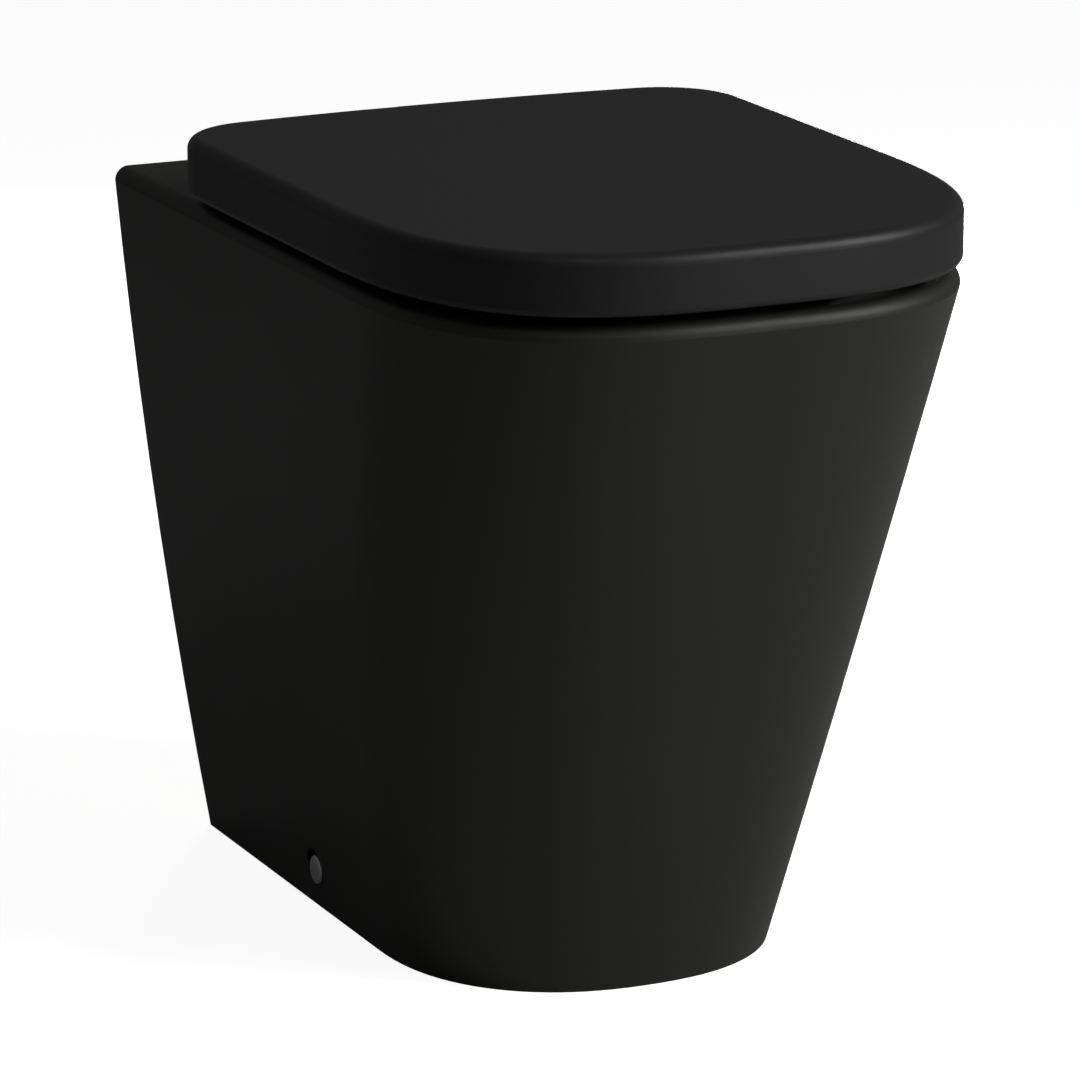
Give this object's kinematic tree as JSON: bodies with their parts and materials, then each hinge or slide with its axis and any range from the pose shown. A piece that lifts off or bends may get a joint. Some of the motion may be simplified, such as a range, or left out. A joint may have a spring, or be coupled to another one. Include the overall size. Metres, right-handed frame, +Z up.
{
  "type": "floor-standing toilet",
  "caption": "Back-to-wall toilet with a skirted one-piece pan, rimless bowl, seat and wrap-over lid on soft-close hinges.",
  "frame": {"origin": "on the floor, under the middle of the whole object's box", "axes": "+Z up; +Y towards the wall behind, along the depth; +X along the width, to the user's left as they sit"},
  "size_m": [0.3686, 0.5504, 0.482],
  "materials": {
    "ceramic": "matt black glaze",
    "duroplast": "matt black moulded urea resin",
    "rubber": "soft black rubber",
    "black_plastic": "moulded black nylon",
    "bracket": "moulded pale nylon",
    "satin_cap": "satin metal-look plating on plastic",
    "chrome": "polished chrome plating",
    "steel": "stainless steel",
    "brass": "turned brass"
  },
  "bodies": {
    "pan": {"pan_casting": "ceramic", "floor_bracket_left": "bracket", "floor_bracket_right": "bracket", "side_liner_left": "black_plastic", "side_liner_right": "black_plastic", "side_screw_left": "steel", "side_screw_right": "steel", "side_cap_left": "satin_cap", "side_cap_right": "satin_cap", "hinge_gasket_left": "rubber", "hinge_gasket_right": "rubber", "hinge_adapter_left": "black_plastic", "hinge_adapter_right": "black_plastic", "hinge_post_left": "chrome", "hinge_post_right": "chrome", "hinge_pin_left": "steel", "hinge_pin_right": "steel", "expanding_sleeve_left": "rubber", "expanding_sleeve_right": "rubber", "seat_bolt_left": "steel", "seat_bolt_right": "steel", "bolt_cone_left": "brass", "bolt_cone_right": "brass"},
    "seat": {"seat_ring": "duroplast", "seat_buffers": "rubber", "seat_damper": "black_plastic", "seat_bush": "black_plastic"},
    "lid": {"lid": "duroplast", "lid_buffers": "rubber", "lid_damper": "black_plastic", "lid_bush": "black_plastic"}
  },
  "joints": [
    {"name": "seat_hinge", "type": "hinge", "parent": "pan", "child": "seat", "pos_m": [0, 0.20225, 0.468], "axis": [-1, 0, 0], "range_deg": [0, 95]},
    {"name": "lid_hinge", "type": "hinge", "parent": "seat", "child": "lid", "pos_m": [0, 0.20225, 0.468], "axis": [-1, 0, 0], "range_deg": [0, 95]}
  ]
}
